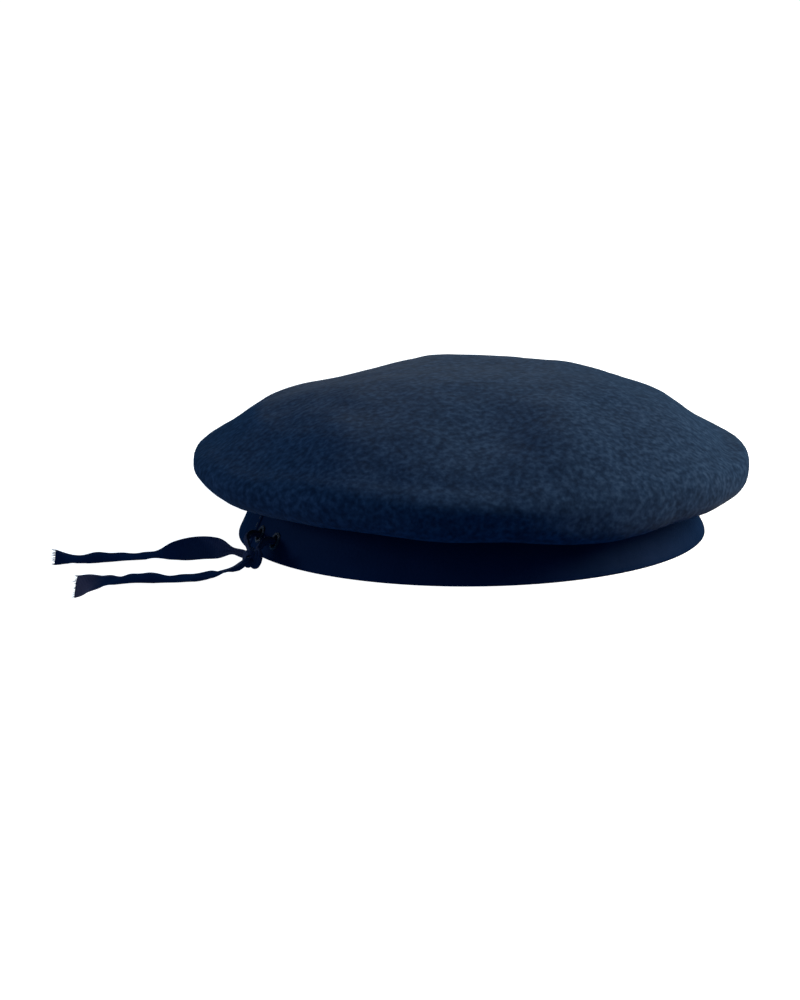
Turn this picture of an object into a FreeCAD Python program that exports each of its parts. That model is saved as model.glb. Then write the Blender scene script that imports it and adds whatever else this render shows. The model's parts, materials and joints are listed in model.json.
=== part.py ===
import FreeCAD
import Part
import math
import os
from FreeCAD import Matrix, Placement, Rotation, Vector

# A soft beret lying at rest on its headband.
# +X is the front, +Z is up, and the origin is on the resting face, under the crown's middle.
# Lengths are in millimetres and angles in degrees.

# ---- Driving dimensions ----

PLAN_RATIO = 0.95            # every ring's width over its length
FULL_TURN = 360.0
REAR = 180.0                 # the angle of the rear centre, from +X

RIM_RADIUS = 106.0           # half the rim's length, at the resting face
BAND_FLARE = math.radians(26.0)   # how far the band leans out towards the rim
BINDING_OUTER_HEIGHT = 25.0  # slant height of the leather's outer leg
BINDING_INNER_HEIGHT = 24.5
LEATHER = 1.1
FELT = 2.0
LINING = 0.4
FIT_GAP = 0.1                # between layers that are sewn together
CHANNEL_GAP = 0.25           # air round the tape between binding and felt
LINING_GAP = 0.3             # air on both sides of the lining in the band
REST_TRIM = 0.3              # how much of the rim is pressed flat by its own weight

TAPE_WIDTH = 10.0
TAPE_THICK = 0.4
TAPE_LOW_EDGE = 3.2          # the tape's lower edge in its channel, up the band

CROWN_HEIGHT = 73.5
DOME_CORNER = (46.0, CROWN_HEIGHT)
SHOULDER_CORNER = (96.0, 57.5)
ROLL_TOP_CORNER = (125.6, 41.0)
ROLL_LOW_CORNER = (125.3, 20.1)
THROAT_UP_BAND = 29.0        # where the crown turns into the band
CROWN_RADII = (150.0, 140.0, 13.0, 10.0, 1.5)
FELT_END_UP_BAND = 3.4

LINING_SLACK = 1.2           # air between felt and lining in the crown
LINING_SLACK_UNDER = 0.96    # and under the roll
LINING_END_UP_BAND = 14.0
LINING_SEAM_RADIUS = 104.0   # the tip panel meets the side panel here
STIFFENER = 0.8
STIFFENER_INNER_RADIUS = 106.0
STIFFENER_START = 25.0       # over the wearer's left eye
STIFFENER_SWEEP = 30.0

OVERLAP_START = 7.0          # the strip's lapped end, from the rear centre
OVERLAP_SWEEP = 8.5
OVERLAP_FOOT = 1.4
OVERLAP_TOP = 24.8
OVERLAP_THICK = 1.0
LAP_STITCH_INSET = 1.0       # from the lapped end, in degrees
LAP_STITCH_LOW = 3.8
LAP_STITCH_COUNT = 5

EXIT_ANGLE = 4.3             # each tape exit, from the rear centre
EXIT_UP_BAND = 9.0
EXIT_TUCK = 1.2              # how far the tape runs in past the middle of its exit, in degrees
EXIT_WIDTH = 3.4
EXIT_HEIGHT = 6.0
BUTTONHOLE_RIM = 1.1
BUTTONHOLE_THICK = 0.6

THREAD = 0.35
STITCH_LENGTH = 2.9
STITCH_PITCH = 4.0
STITCH_LIFT = 0.03           # keeps each stitch just off the face it lies on
TOPSTITCH_UP_BAND = 22.4
LINING_STITCH_PITCH = 6.0

LABEL_SWEEP = 18.0
LABEL_THICK = 0.3
LABEL_LOW = 5.0
LABEL_HIGH = 19.0
LABEL_STITCH_INSET = 0.7     # from the label's end, in degrees
LABEL_STITCH_LOW = 7.6
LABEL_STITCH_COUNT = 3

LEAD_DIAMETER = 2.3          # the gathered tape has the flat tape's section
KNOT_CENTRE = Vector(-116.8, -16.5, 0.0)
KNOT_RADIUS = 4.8
KNOT_HEIGHT = 9.0
KNOT_CROWN = 3.2

# Routes of the drawstring's two ends. The tails lie on the resting surface.
LEAD_NEAR = [(-105.1, -7.8, 9.4), (-109.4, -10.8, 9.3), (-113.4, -14.6, 7.4)]
LEAD_FAR = [(-105.1, 7.3, 9.4), (-110.4, 2.2, 9.6), (-114.6, -5.2, 8.8), (-116.6, -13.0, 6.8)]
TAIL_UPPER = [
    (-118.2, -11.8),
    (-121.2, -5.2),
    (-126.6, 1.4),
    (-133.8, 7.0),
    (-141.8, 12.8),
    (-150.6, 18.4),
    (-160.4, 22.8),
    (-171.0, 25.6),
    (-181.0, 28.0),
    (-189.2, 31.0),
]
TAIL_LOWER = [
    (-121.2, -18.6),
    (-127.0, -21.2),
    (-134.0, -23.9),
    (-141.4, -25.6),
    (-148.8, -25.7),
    (-155.8, -23.8),
    (-162.4, -20.8),
    (-169.0, -18.0),
    (-176.0, -16.8),
    (-183.2, -17.8),
    (-190.4, -20.6),
    (-197.4, -24.2),
    (-204.2, -28.0),
]
CORD_BEND_SHARE = 0.45       # the part of the shorter run that each bend may take


# ---- Section drawing: points are (radius, 0, height) ----

def band(up, out):
    """A point of the band's section: up its slant from the rim, and out of its leather face."""
    across = math.cos(BAND_FLARE)
    lean = math.sin(BAND_FLARE)
    return Vector(RIM_RADIUS - up * lean + out * across, 0, up * across + out * lean)


def inner_normal(start, end):
    run = (end - start).normalize()
    return Vector(run.z, 0, -run.x)


def crossing(point_a, run_a, point_b, run_b):
    """Where two lines of the section cross."""
    between = point_b - point_a
    share = (between.x * run_b.z - between.z * run_b.x) / (run_a.x * run_b.z - run_a.z * run_b.x)
    return point_a + run_a * share


def inset(points, depths):
    """The outline moved inwards, each run by its own depth."""
    normals = [inner_normal(a, b) for a, b in zip(points, points[1:])]
    moved = [points[0] + normals[0] * depths[0]]
    for i in range(1, len(points) - 1):
        moved.append(crossing(
            points[i] + normals[i - 1] * depths[i - 1], points[i] - points[i - 1],
            points[i] + normals[i] * depths[i], points[i + 1] - points[i]))
    moved.append(points[-1] + normals[-1] * depths[-1])
    return moved


def inset_radii(points, radii, depths):
    """Bend radii at a depth: smaller inside the rolls, larger round the throat."""
    result = []
    for i, radius in enumerate(radii):
        run_in = points[i + 1] - points[i]
        run_out = points[i + 2] - points[i + 1]
        turn = run_in.x * run_out.z - run_in.z * run_out.x
        depth = (depths[i] + depths[i + 1]) / 2
        result.append(radius + math.copysign(depth, turn))
    return result


def rounded_edges(points, radii):
    """Straight runs joined by tangent arcs."""
    edges = []
    start = points[0]
    for i, radius in enumerate(radii):
        before, corner, after = points[i], points[i + 1], points[i + 2]
        back = (before - corner).normalize()
        ahead = (after - corner).normalize()
        half_turn = (math.pi - back.getAngle(ahead)) / 2
        reach = radius * math.tan(half_turn)
        arc_start = corner + back * reach
        arc_end = corner + ahead * reach
        inward = (back + ahead).normalize()
        arc_middle = corner + inward * (radius / math.cos(half_turn) - radius)
        edges.append(Part.LineSegment(start, arc_start).toShape())
        edges.append(Part.Arc(arc_start, arc_middle, arc_end).toShape())
        start = arc_end
    edges.append(Part.LineSegment(start, points[-1]).toShape())
    return edges


def layer_face(points, radii, outer_depths, inner_depths):
    """The section of one layer, between two depths under the outline."""
    outer = inset(points, outer_depths)
    inner = inset(points, inner_depths)
    edges = rounded_edges(outer, inset_radii(points, radii, outer_depths))
    edges += rounded_edges(inner, inset_radii(points, radii, inner_depths))
    edges.append(Part.LineSegment(outer[0], inner[0]).toShape())
    edges.append(Part.LineSegment(outer[-1], inner[-1]).toShape())
    return Part.Face(Part.Wire(Part.__sortEdges__(edges)))


def polygon_face(points):
    return Part.Face(Part.makePolygon(points + points[:1]))


def rectangle(low_radius, high_radius, low, high):
    return polygon_face([
        Vector(low_radius, 0, low), Vector(high_radius, 0, low),
        Vector(high_radius, 0, high), Vector(low_radius, 0, high)])


def band_strip(low, high, inner, outer):
    """The section of a strip that lies along the band."""
    return polygon_face([band(low, inner), band(low, outer), band(high, outer), band(high, inner)])


# ---- Turning sections into rings ----

def squeeze(shape):
    matrix = Matrix()
    matrix.A22 = PLAN_RATIO
    return shape.transformGeometry(matrix)


def ring(face, start=0.0, sweep=FULL_TURN):
    """A section swept round the vertical axis and narrowed to the plan's shape."""
    solid = face.revolve(Vector(0, 0, 0), Vector(0, 0, 1), sweep)
    solid.rotate(Vector(0, 0, 0), Vector(0, 0, 1), start)
    return squeeze(solid)


def local_frame(angle, point, run):
    """Origin, tangent, run and outward normal of a ring's surface at one angle."""
    turn = math.radians(angle)
    origin = Vector(point.x * math.cos(turn), PLAN_RATIO * point.x * math.sin(turn), point.z)
    tangent = Vector(-math.sin(turn), PLAN_RATIO * math.cos(turn), 0).normalize()
    slope = Vector(run.x * math.cos(turn), PLAN_RATIO * run.x * math.sin(turn), run.z).normalize()
    return origin, tangent, slope, tangent.cross(slope).normalize()


def band_frame(angle, up, out):
    return local_frame(angle, band(up, out), band(1, 0) - band(0, 0))


def placed(shape, frame, flip=False):
    """Move a shape drawn at the origin onto a surface, its own Z along the normal."""
    origin, tangent, slope, normal = frame
    if flip:
        normal = normal * -1
        slope = slope * -1
    shape.Placement = Placement(origin, Rotation(tangent, slope, normal, "ZXY")).multiply(shape.Placement)
    return shape


def stitch(frame, length=STITCH_LENGTH, flip=False):
    bar = Part.makeBox(length, THREAD, THREAD, Vector(-length / 2, -THREAD / 2, STITCH_LIFT))
    return placed(bar, frame, flip)


def upright_stitch(frame, length=STITCH_LENGTH, flip=False):
    bar = Part.makeBox(THREAD, length, THREAD, Vector(-THREAD / 2, -length / 2, STITCH_LIFT))
    return placed(bar, frame, flip)


def oval_prism(width, height, low, high):
    """An upright oval: a slot shape with round ends, from low to high along Z."""
    radius = width / 2
    straight = height - width
    middle = Part.makeBox(width, straight, high - low, Vector(-radius, -straight / 2, low))
    ends = [
        Part.makeCylinder(radius, high - low, Vector(0, side * straight / 2, low))
        for side in (-1, 1)]
    return middle.fuse(ends).removeSplitter()


# ---- Crown ----

SHELL_OUT = -(LEATHER + TAPE_THICK + CHANNEL_GAP)    # the felt's outer face in the band
CROWN_POINTS = [
    Vector(0, 0, CROWN_HEIGHT),
    Vector(DOME_CORNER[0], 0, DOME_CORNER[1]),
    Vector(SHOULDER_CORNER[0], 0, SHOULDER_CORNER[1]),
    Vector(ROLL_TOP_CORNER[0], 0, ROLL_TOP_CORNER[1]),
    Vector(ROLL_LOW_CORNER[0], 0, ROLL_LOW_CORNER[1]),
    band(THROAT_UP_BAND, SHELL_OUT),
    band(FELT_END_UP_BAND, SHELL_OUT),
]
RUNS = len(CROWN_POINTS) - 1
LINING_DEPTHS = [FELT + LINING_SLACK] * (RUNS - 2) + [FELT + LINING_SLACK_UNDER, FELT + FIT_GAP]


def crown_shell():
    return ring(layer_face(CROWN_POINTS, CROWN_RADII, [0] * RUNS, [FELT] * RUNS))


def lining_face():
    points = CROWN_POINTS[:-1] + [band(LINING_END_UP_BAND, SHELL_OUT)]
    return layer_face(points, CROWN_RADII, LINING_DEPTHS, [depth + LINING for depth in LINING_DEPTHS])


def lining_tip():
    inside = rectangle(-LINING, LINING_SEAM_RADIUS, ROLL_TOP_CORNER[1], CROWN_HEIGHT)
    return ring(lining_face().common(inside).Faces[0])


def lining_side():
    inside = rectangle(-LINING, LINING_SEAM_RADIUS + FIT_GAP, ROLL_TOP_CORNER[1], CROWN_HEIGHT)
    return ring(lining_face().cut(inside).Faces[0])


def lining_seam_stitches():
    points = inset(CROWN_POINTS, [depth + LINING for depth in LINING_DEPTHS])
    run = (points[3] - points[2]).normalize()
    middle = points[2] + run * ((LINING_SEAM_RADIUS + FIT_GAP / 2 - points[2].x) / run.x)
    count = round(2 * math.pi * LINING_SEAM_RADIUS / LINING_STITCH_PITCH)
    return Part.makeCompound([
        upright_stitch(local_frame(FULL_TURN * k / count, middle, run))
        for k in range(count)])


def badge_stiffener():
    outer = [FELT + FIT_GAP] * RUNS
    inner = [FELT + FIT_GAP + STIFFENER] * RUNS
    whole = layer_face(CROWN_POINTS, CROWN_RADII, outer, inner)
    patch = whole.common(rectangle(STIFFENER_INNER_RADIUS, 2 * RIM_RADIUS, 0, CROWN_HEIGHT))
    return ring(patch.Faces[0], STIFFENER_START, STIFFENER_SWEEP)


# ---- Headband ----

BINDING_DEPTH = 2 * LEATHER + TAPE_THICK + FELT + LINING + CHANNEL_GAP + LINING_GAP
BINDING_FOOT = -REST_TRIM / math.cos(BAND_FLARE)
BINDING_POINTS = [
    band(BINDING_OUTER_HEIGHT, 0),
    band(BINDING_FOOT, 0),
    band(BINDING_FOOT + BINDING_DEPTH * math.tan(BAND_FLARE), -BINDING_DEPTH),
    band(BINDING_INNER_HEIGHT, -BINDING_DEPTH),
]
BINDING_RADII = (1.6, 2.2)


def exit_frames():
    return {side: band_frame(REAR + sign * EXIT_ANGLE, EXIT_UP_BAND, 0)
            for side, sign in (("near", 1), ("far", -1))}


def headband_binding():
    strip = ring(layer_face(BINDING_POINTS, BINDING_RADII, [0] * 3, [LEATHER] * 3))
    reach = 2 * RIM_RADIUS
    below = Part.makeBox(2 * reach, 2 * reach, reach, Vector(-reach, -reach, -reach))
    strip = strip.cut(below)
    lap = ring(
        band_strip(OVERLAP_FOOT, OVERLAP_TOP, -LEATHER / 2, OVERLAP_THICK),
        REAR - OVERLAP_START - OVERLAP_SWEEP, OVERLAP_SWEEP)
    strip = strip.fuse(lap)
    for frame in exit_frames().values():
        slot = oval_prism(EXIT_WIDTH, EXIT_HEIGHT, -LEATHER - FIT_GAP, LEATHER)
        strip = strip.cut(placed(slot, frame))
    return strip


def on_lap(angle):
    """How far an angle's stitch is lifted by the lapped end, or None where it would cross an edge."""
    past = REAR - OVERLAP_START - angle
    if min(abs(past), abs(past - OVERLAP_SWEEP)) < LAP_STITCH_INSET:
        return None
    return OVERLAP_THICK if 0 < past < OVERLAP_SWEEP else 0.0


def topstitch_angles():
    count = round(2 * math.pi * (RIM_RADIUS - TOPSTITCH_UP_BAND / 2) / STITCH_PITCH)
    return [FULL_TURN * k / count for k in range(count)]


def topstitch_outer():
    bars = []
    for angle in topstitch_angles():
        lift = on_lap(angle)
        if lift is not None:
            bars.append(stitch(band_frame(angle, TOPSTITCH_UP_BAND, lift)))
    return Part.makeCompound(bars)


def topstitch_inner():
    return Part.makeCompound([
        stitch(band_frame(angle, TOPSTITCH_UP_BAND, -BINDING_DEPTH), flip=True)
        for angle in topstitch_angles()])


def lap_stitches():
    angle = REAR - OVERLAP_START - LAP_STITCH_INSET
    return Part.makeCompound([
        upright_stitch(band_frame(angle, LAP_STITCH_LOW + k * STITCH_PITCH, OVERLAP_THICK))
        for k in range(LAP_STITCH_COUNT)])


def size_label():
    outer = -BINDING_DEPTH - FIT_GAP
    face = band_strip(LABEL_LOW, LABEL_HIGH, outer - LABEL_THICK, outer)
    return ring(face, REAR - LABEL_SWEEP / 2, LABEL_SWEEP)


def label_stitches():
    outer = -BINDING_DEPTH - FIT_GAP - LABEL_THICK
    bars = []
    for side in (-1, 1):
        angle = REAR + side * (LABEL_SWEEP / 2 - LABEL_STITCH_INSET)
        for k in range(LABEL_STITCH_COUNT):
            up = LABEL_STITCH_LOW + k * STITCH_PITCH
            bars.append(upright_stitch(band_frame(angle, up, outer), flip=True))
    return Part.makeCompound(bars)


# ---- Drawstring ----

def drawstring_loop():
    """The tape in its channel, open between the two exits."""
    outer = -LEATHER - FIT_GAP
    face = band_strip(TAPE_LOW_EDGE, TAPE_LOW_EDGE + TAPE_WIDTH, outer - TAPE_THICK, outer)
    gap = EXIT_ANGLE - EXIT_TUCK
    return ring(face, REAR + gap, FULL_TURN - 2 * gap)


def exit_buttonhole(side):
    whole = oval_prism(
        EXIT_WIDTH + 2 * BUTTONHOLE_RIM, EXIT_HEIGHT + 2 * BUTTONHOLE_RIM,
        STITCH_LIFT * 2, BUTTONHOLE_THICK)
    hole = oval_prism(EXIT_WIDTH, EXIT_HEIGHT, -BUTTONHOLE_THICK, 2 * BUTTONHOLE_THICK)
    return placed(whole.cut(hole), exit_frames()[side])


def bend_radii(points):
    """The largest bend that each corner's two runs allow."""
    radii = []
    for before, corner, after in zip(points, points[1:], points[2:]):
        shorter = min((corner - before).Length, (after - corner).Length)
        half_turn = (corner - before).getAngle(after - corner) / 2
        radii.append(CORD_BEND_SHARE * shorter / math.tan(half_turn))
    return radii


def cord_path(name, points, least):
    radii = bend_radii(points)
    path = Part.Wire(rounded_edges(points, radii))
    print(name, "length", round(path.Length, 1), "radii", [round(r, 1) for r in radii],
          "least wanted", round(least, 1))
    return path


def report_volume(name, solid, section, length):
    print(name, "volume", round(solid.Volume, 1), "section times length", round(section * length, 1))


def drawstring_lead(side, route):
    origin, _, _, normal = exit_frames()[side]
    start = origin - normal * LEATHER
    points = [start] + [Vector(*point) for point in route]
    name = "drawstring_lead_" + side
    path = cord_path(name, points, 3 * LEAD_DIAMETER)
    section = Part.Wire(Part.makeCircle(LEAD_DIAMETER / 2, points[0], points[1] - points[0]))
    tube = path.makePipeShell([section], True, False)
    report_volume(name, tube, math.pi * LEAD_DIAMETER ** 2 / 4, path.Length)
    return tube.cut(drawstring_knot())


def drawstring_knot():
    lump = Part.makeCylinder(KNOT_RADIUS, KNOT_HEIGHT, KNOT_CENTRE)
    top = [edge for edge in lump.Edges if edge.BoundBox.ZMin > KNOT_HEIGHT - 0.01]
    return lump.makeFillet(KNOT_CROWN, top)


def tail_divider(side):
    """A block on the other tail's side of the line between the two tails."""
    ends = [Vector(*TAIL_UPPER[1], 0), Vector(*TAIL_LOWER[1], 0)]
    between = sum(((end - KNOT_CENTRE).normalize() for end in ends), Vector()).normalize()
    sideways = Vector(-between.y, between.x, 0) * side
    reach = 3 * TAPE_WIDTH
    foot = KNOT_CENTRE - sideways * FIT_GAP
    far = foot + between * reach
    corners = [foot, far, far + sideways * reach, foot + sideways * reach]
    return polygon_face(corners).extrude(Vector(0, 0, TAPE_THICK))


def tape_section(start, ahead):
    """The flat tape's section, standing across its run on the resting surface."""
    sideways = Vector(-ahead.y, ahead.x, 0).normalize() * (TAPE_WIDTH / 2)
    lift = Vector(0, 0, TAPE_THICK)
    corners = [start - sideways, start + sideways, start + sideways + lift, start - sideways + lift]
    return Part.makePolygon(corners + corners[:1])


def drawstring_tail(name, route, side):
    """A flat tape on the resting surface, from the knot's wall to its cut end."""
    points = [Vector(*point, 0) for point in route]
    path = cord_path(name, points, 2 * TAPE_WIDTH)
    tape = path.makePipeShell([tape_section(points[0], points[1] - points[0])], True, False)
    report_volume(name, tape, TAPE_WIDTH * TAPE_THICK, path.Length)
    return tape.cut(drawstring_knot()).cut(tail_divider(side))


# ---- The parts ----

def build():
    return {
        "crown_shell": crown_shell(),
        "lining_tip": lining_tip(),
        "lining_side": lining_side(),
        "lining_seam_stitches": lining_seam_stitches(),
        "badge_stiffener": badge_stiffener(),
        "headband_binding": headband_binding(),
        "topstitch_outer": topstitch_outer(),
        "topstitch_inner": topstitch_inner(),
        "lap_stitches": lap_stitches(),
        "size_label": size_label(),
        "label_stitches": label_stitches(),
        "drawstring_loop": drawstring_loop(),
        "exit_buttonhole_near": exit_buttonhole("near"),
        "exit_buttonhole_far": exit_buttonhole("far"),
        "drawstring_lead_near": drawstring_lead("near", LEAD_NEAR),
        "drawstring_lead_far": drawstring_lead("far", LEAD_FAR),
        "drawstring_knot": drawstring_knot(),
        "drawstring_tail_upper": drawstring_tail("drawstring_tail_upper", TAIL_UPPER, 1),
        "drawstring_tail_lower": drawstring_tail("drawstring_tail_lower", TAIL_LOWER, -1),
    }


os.makedirs("parts", exist_ok=True)
for node, shape in build().items():
    print(node, "solids", len(shape.Solids), "valid", shape.isValid(), "volume", round(shape.Volume, 1))
    shape.exportStep(os.path.join("parts", node + ".step"))
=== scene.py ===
import json
import math
import random

import bpy
import numpy as np
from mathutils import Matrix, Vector, noise

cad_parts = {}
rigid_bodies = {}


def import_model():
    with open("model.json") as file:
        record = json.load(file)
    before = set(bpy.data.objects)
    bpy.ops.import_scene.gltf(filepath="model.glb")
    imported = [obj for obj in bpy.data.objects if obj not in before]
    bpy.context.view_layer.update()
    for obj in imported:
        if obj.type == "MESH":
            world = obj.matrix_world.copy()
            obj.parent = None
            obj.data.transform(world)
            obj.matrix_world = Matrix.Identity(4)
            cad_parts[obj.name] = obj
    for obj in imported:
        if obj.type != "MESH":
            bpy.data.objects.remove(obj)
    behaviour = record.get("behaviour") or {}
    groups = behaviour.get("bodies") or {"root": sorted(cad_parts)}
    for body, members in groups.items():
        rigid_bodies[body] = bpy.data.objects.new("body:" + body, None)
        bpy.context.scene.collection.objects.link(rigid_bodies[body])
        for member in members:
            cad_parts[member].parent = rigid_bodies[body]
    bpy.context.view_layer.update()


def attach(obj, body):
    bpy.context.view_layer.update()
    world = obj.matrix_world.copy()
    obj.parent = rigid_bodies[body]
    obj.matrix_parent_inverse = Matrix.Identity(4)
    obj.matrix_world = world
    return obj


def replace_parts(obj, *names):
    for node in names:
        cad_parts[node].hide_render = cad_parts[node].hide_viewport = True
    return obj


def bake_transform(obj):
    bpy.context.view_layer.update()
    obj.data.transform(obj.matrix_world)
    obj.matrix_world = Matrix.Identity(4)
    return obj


# A navy felt beret at rest on its headband, with its drawstring tied at the rear.
# Shapes are worked out in millimetres in the CAD's frame and written to the meshes in metres.

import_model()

MM = 0.001
HAT, STRING = "hat", "drawstring"

# ---- The CAD's section, in millimetres ----

PLAN_RATIO = 0.95
RIM_RADIUS = 106.0
BAND_FLARE = math.radians(26.0)
BAND_ACROSS, BAND_LEAN = math.cos(BAND_FLARE), math.sin(BAND_FLARE)
LEATHER = 1.1
FELT = 2.0
LINING = 0.4
TAPE_WIDTH = 10.0
TAPE_THICK = 0.45
RIB_PITCH, WARP_PITCH = 0.8, 0.45
CROWN_HEIGHT = 73.5
SHELL_OUT = -1.75            # the felt's outer face inside the binding
BINDING_HIGH = 25.0
BINDING_DEPTH = 5.55         # from the outer leg's face in to the sweatband's
TOPSTITCH_UP = 22.4
STITCH_PITCH = 4.0
STITCH_LENGTH = 2.9
EXIT_UP = 9.0

# Places round the hat, in degrees from its front
REAR = 180.0
EXIT_ANGLE = 4.3             # to either side of the rear
LAP_END = 173.0
LAP_RISE = (163.2, 165.4)    # where the lapped end comes up from under the strip
STIFFENER = (25, 55)

# ---- Camera ----

# Its lengths in metres, apart from the lens and sensor
AZIMUTH = math.radians(-28.0)
ELEVATION = math.radians(13.2)
DISTANCE = 1.6
LENS, SENSOR = 160.7, 36.0
AIM_RIGHT, AIM_UP = -0.0323, 0.0134     # the picture's middle, from the hat's middle on the table
RIGHT = Vector((math.cos(AZIMUTH), math.sin(AZIMUTH), 0))
NEARER = Vector((math.sin(AZIMUTH), -math.cos(AZIMUTH), 0))


def make_camera():
    """The photograph's view: from a little above the table, off the hat's right side and rear."""
    toward = NEARER * math.cos(ELEVATION) + Vector((0, 0, math.sin(ELEVATION)))
    up = toward.cross(RIGHT)
    target = RIGHT * AIM_RIGHT + up * AIM_UP
    camera = bpy.data.cameras.new("camera")
    camera.sensor_fit = "HORIZONTAL"
    camera.sensor_width = SENSOR
    camera.lens = LENS
    camera.dof.use_dof = False
    holder = bpy.data.objects.new("camera", camera)
    bpy.context.scene.collection.objects.link(holder)
    holder.location = target + toward * DISTANCE
    holder.rotation_euler = toward.to_track_quat("Z", "Y").to_euler()
    bpy.context.scene.camera = holder


make_camera()


# ---- Materials ----

def set_stops(colour_ramp, stops):
    """Give a colour ramp its (position, colour) stops."""
    elements = colour_ramp.elements
    while len(elements) < len(stops):
        elements.new(0.5)
    for element, (position, colour) in zip(elements, stops):
        element.position = position
        element.color = (*colour, 1.0)


class Material:
    """A node material: its shader, and short ways to add the nodes that feed it."""

    def __init__(self, name, **sockets):
        self.data = bpy.data.materials.new(name)
        self.data.use_nodes = True
        self.nodes = self.data.node_tree.nodes
        self.links = self.data.node_tree.links
        self.shader = self.nodes["Principled BSDF"]
        for socket, value in sockets.items():
            self.shader.inputs[socket.replace("_", " ")].default_value = value
        self.where = self.nodes.new("ShaderNodeTexCoord").outputs["Object"]
        self.normal = None

    def noise(self, scale, detail=3.0, roughness=0.55, stretch=None):
        node = self.nodes.new("ShaderNodeTexNoise")
        node.inputs["Scale"].default_value = scale
        node.inputs["Detail"].default_value = detail
        node.inputs["Roughness"].default_value = roughness
        source = self.where
        if stretch:
            mapping = self.nodes.new("ShaderNodeMapping")
            mapping.inputs["Scale"].default_value = stretch
            self.links.new(source, mapping.inputs["Vector"])
            source = mapping.outputs["Vector"]
        self.links.new(source, node.inputs["Vector"])
        return node.outputs["Fac"]

    def cells(self, scale):
        node = self.nodes.new("ShaderNodeTexVoronoi")
        node.inputs["Scale"].default_value = scale
        self.links.new(self.where, node.inputs["Vector"])
        return node.outputs["Distance"]

    def ribs(self, axis, scale):
        """Fine ribs counted along one of the mesh's UV axes."""
        split = self.nodes.new("ShaderNodeSeparateXYZ")
        self.links.new(self.nodes.new("ShaderNodeTexCoord").outputs["UV"], split.inputs["Vector"])
        return self.math("SINE", self.math("MULTIPLY", split.outputs[axis], scale))

    def feed(self, node, slot, value):
        """Set a node's input to a plain number, or link it to another node's output."""
        if isinstance(value, (int, float)):
            node.inputs[slot].default_value = value
        else:
            self.links.new(value, node.inputs[slot])

    def math(self, operation, *values):
        node = self.nodes.new("ShaderNodeMath")
        node.operation = operation
        for slot, value in enumerate(values):
            self.feed(node, slot, value)
        return node.outputs[0]

    def ramp(self, source, *stops):
        node = self.nodes.new("ShaderNodeValToRGB")
        set_stops(node.color_ramp, stops)
        self.links.new(source, node.inputs["Fac"])
        return node.outputs["Color"]

    def blend(self, factor, a, b, mode="MIX"):
        node = self.nodes.new("ShaderNodeMix")
        node.data_type = "RGBA"
        node.blend_type = mode
        for slot, value in ((0, factor), (6, a), (7, b)):     # the node's colour sockets
            self.feed(node, slot, value)
        return node.outputs[2]

    def colour(self, source):
        self.links.new(source, self.shader.inputs["Base Color"])

    def roughness(self, source, low, high):
        node = self.nodes.new("ShaderNodeMapRange")
        node.inputs["To Min"].default_value = low
        node.inputs["To Max"].default_value = high
        self.links.new(source, node.inputs["Value"])
        self.links.new(node.outputs["Result"], self.shader.inputs["Roughness"])

    def bump(self, height, strength, distance):
        """Another layer of relief, over those already there. The distance is in millimetres."""
        node = self.nodes.new("ShaderNodeBump")
        node.inputs["Strength"].default_value = strength
        node.inputs["Distance"].default_value = distance * MM
        self.links.new(height, node.inputs["Height"])
        if self.normal:
            self.links.new(self.normal, node.inputs["Normal"])
        self.normal = node.outputs["Normal"]
        self.links.new(self.normal, self.shader.inputs["Normal"])


def felt_material():
    """Milled wool: a dark navy ground under a paler nap, mottled at three scales."""
    felt = Material(
        "beret_felt", Roughness=0.95, Specular_IOR_Level=0.03,
        Sheen_Weight=0.03, Sheen_Roughness=0.5, Sheen_Tint=(0.85, 0.95, 1.0, 1.0))
    speckle = felt.noise(430, 1.5, 0.45)
    mottle = felt.noise(150, 1.0, 0.5)
    cloud = felt.noise(42, 3.0, 0.5)
    ground = felt.ramp(cloud, (0.30, (0.0074, 0.0186, 0.0410)), (0.72, (0.0096, 0.0220, 0.0462)))
    patches = felt.ramp(mottle, (0.30, (0.84, 0.86, 0.88)), (0.70, (1.17, 1.14, 1.12)))
    nap = felt.ramp(
        speckle, (0.30, (0.42, 0.54, 0.62)), (0.50, (0.88, 0.93, 0.96)), (0.70, (1.76, 1.52, 1.40)))
    felt.colour(felt.blend(1.0, felt.blend(1.0, ground, patches, "MULTIPLY"), nap, "MULTIPLY"))
    felt.bump(cloud, 0.25, 1.2)
    felt.bump(felt.noise(260, 3.0, 0.55), 0.27, 0.7)
    felt.bump(speckle, 0.26, 0.35)
    return felt.data


def leather_material():
    """Nearly black leather: a fine pebbled grain with hardly any gloss."""
    leather = Material(
        "beret_leather", Roughness=0.5, Specular_IOR_Level=0.008, Sheen_Weight=0.004, Sheen_Roughness=0.35,
        Sheen_Tint=(0.55, 0.80, 1.0, 1.0), Specular_Tint=(0.50, 0.78, 1.0, 1.0))
    cloud = leather.noise(60, 3.0, 0.5)
    leather.colour(leather.ramp(cloud, (0.30, (0.0022, 0.0083, 0.0275)), (0.75, (0.0034, 0.0105, 0.0335))))
    grain = leather.cells(900)
    leather.roughness(leather.noise(300, 3.0, 0.6), 0.52, 0.72)
    leather.bump(leather.noise(90, 3.0, 0.5), 0.25, 0.6)
    leather.bump(grain, 0.45, 0.22)
    return leather.data


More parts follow.
